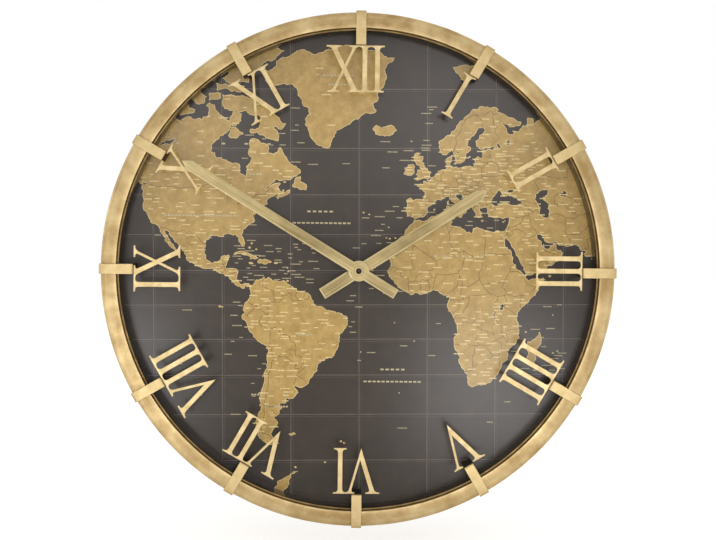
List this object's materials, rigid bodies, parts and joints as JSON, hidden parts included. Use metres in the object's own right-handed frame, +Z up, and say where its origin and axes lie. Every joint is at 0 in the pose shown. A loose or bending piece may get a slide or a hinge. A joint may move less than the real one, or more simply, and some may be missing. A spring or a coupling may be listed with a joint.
{
  "type": "wall clock",
  "caption": "Large round wall clock: deep brass rim, straps carrying cut-out Roman numerals, flat world-map dial, two hands and a battery quartz movement behind.",
  "frame": {"origin": "point on the wall behind the hands' axis, in the plane of the rim's back edge", "axes": "+Y into the wall, so the front faces -Y; +Z up towards 12 o'clock; +X right, towards 3 o'clock"},
  "size_m": [0.6038, 0.0642, 0.6038],
  "materials": {
    "rim_brass": "antique brass, brushed and mottled",
    "pale_brass": "satin champagne brass",
    "hand_metal": "brass coloured, brushed along its length, bright bevels",
    "map_board": "board with a matt printed face",
    "case_plastic": "moulded, fine grain",
    "gear_plastic": "moulded",
    "steel": "zinc plated",
    "thread_brass": "turned",
    "gasket_rubber": "matt",
    "coil_wire": "enamelled copper wire",
    "board_green": "solder resist",
    "battery_sleeve": "plain printed sleeve"
  },
  "bodies": {
    "case": {"outer_rim": "rim_brass", "rim_face": "rim_brass", "inner_liner": "rim_brass", "dial_panel": "map_board", "strap_1": "pale_brass", "strap_2": "pale_brass", "strap_3": "pale_brass", "strap_4": "pale_brass", "strap_5": "pale_brass", "strap_6": "pale_brass", "strap_7": "pale_brass", "strap_8": "pale_brass", "strap_9": "pale_brass", "strap_10": "pale_brass", "strap_11": "pale_brass", "strap_12": "pale_brass", "numeral_XII": "pale_brass", "numeral_I": "pale_brass", "numeral_II": "pale_brass", "numeral_III": "pale_brass", "numeral_IIII": "pale_brass", "numeral_V": "pale_brass", "numeral_VI": "pale_brass", "numeral_VII": "pale_brass", "numeral_VIII": "pale_brass", "numeral_IX": "pale_brass", "numeral_X": "pale_brass", "numeral_XI": "pale_brass", "movement_case": "case_plastic", "movement_cover": "case_plastic", "battery": "battery_sleeve", "negative_contact": "steel", "positive_contact": "steel", "stator": "steel", "coil": "coil_wire", "circuit_board": "board_green", "quartz_crystal": "steel", "threaded_bush": "thread_brass", "rubber_gasket": "gasket_rubber", "dial_washer": "steel", "fixing_nut": "thread_brass", "hanger": "steel", "dial_clip_1": "steel", "dial_clip_2": "steel", "dial_clip_3": "steel", "dial_clip_4": "steel", "dial_clip_5": "steel", "dial_clip_6": "steel"},
    "minute": {"minute_hand": "hand_metal", "minute_hand_bush": "pale_brass", "minute_arbor": "steel", "centre_wheel": "gear_plastic"},
    "hour": {"hour_hand": "hand_metal", "hour_hand_bush": "pale_brass", "hour_wheel": "gear_plastic"},
    "motion": {"motion_wheel": "gear_plastic"},
    "knob": {"setting_knob": "case_plastic"},
    "third": {"third_wheel": "gear_plastic"},
    "fourth": {"fourth_wheel": "gear_plastic"},
    "rotor_body": {"rotor": "steel"}
  },
  "joints": [
    {"name": "minute_turn", "type": "hinge", "parent": "case", "child": "minute", "pos_m": [0, 0, 0], "axis": [0, 1, 0], "continuous": true},
    {"name": "hour_turn", "type": "hinge", "parent": "case", "child": "hour", "pos_m": [0, 0, 0], "axis": [0, 1, 0], "continuous": true},
    {"name": "motion_turn", "type": "hinge", "parent": "case", "child": "motion", "pos_m": [0.00983, 0, 0.00688], "axis": [0, 1, 0], "continuous": true},
    {"name": "knob_turn", "type": "hinge", "parent": "case", "child": "knob", "pos_m": [0.01902, 0, -0.00083], "axis": [0, 1, 0], "continuous": true},
    {"name": "third_turn", "type": "hinge", "parent": "case", "child": "third", "pos_m": [-0.0097, 0, 0.0056], "axis": [0, 1, 0], "continuous": true},
    {"name": "fourth_turn", "type": "hinge", "parent": "case", "child": "fourth", "pos_m": [-0.00628, 0, 0.015], "axis": [0, 1, 0], "continuous": true},
    {"name": "rotor_turn", "type": "hinge", "parent": "case", "child": "rotor_body", "pos_m": [0.00317, 0, 0.01666], "axis": [0, 1, 0], "continuous": true}
  ],
  "couplings": [
    {"joint": "hour_turn", "follows": "minute_turn", "ratio": 0.083333},
    {"joint": "motion_turn", "follows": "minute_turn", "ratio": -0.33333},
    {"joint": "knob_turn", "follows": "minute_turn", "ratio": 1},
    {"joint": "third_turn", "follows": "minute_turn", "ratio": -6},
    {"joint": "fourth_turn", "follows": "minute_turn", "ratio": 24},
    {"joint": "rotor_turn", "follows": "minute_turn", "ratio": -120}
  ]
}
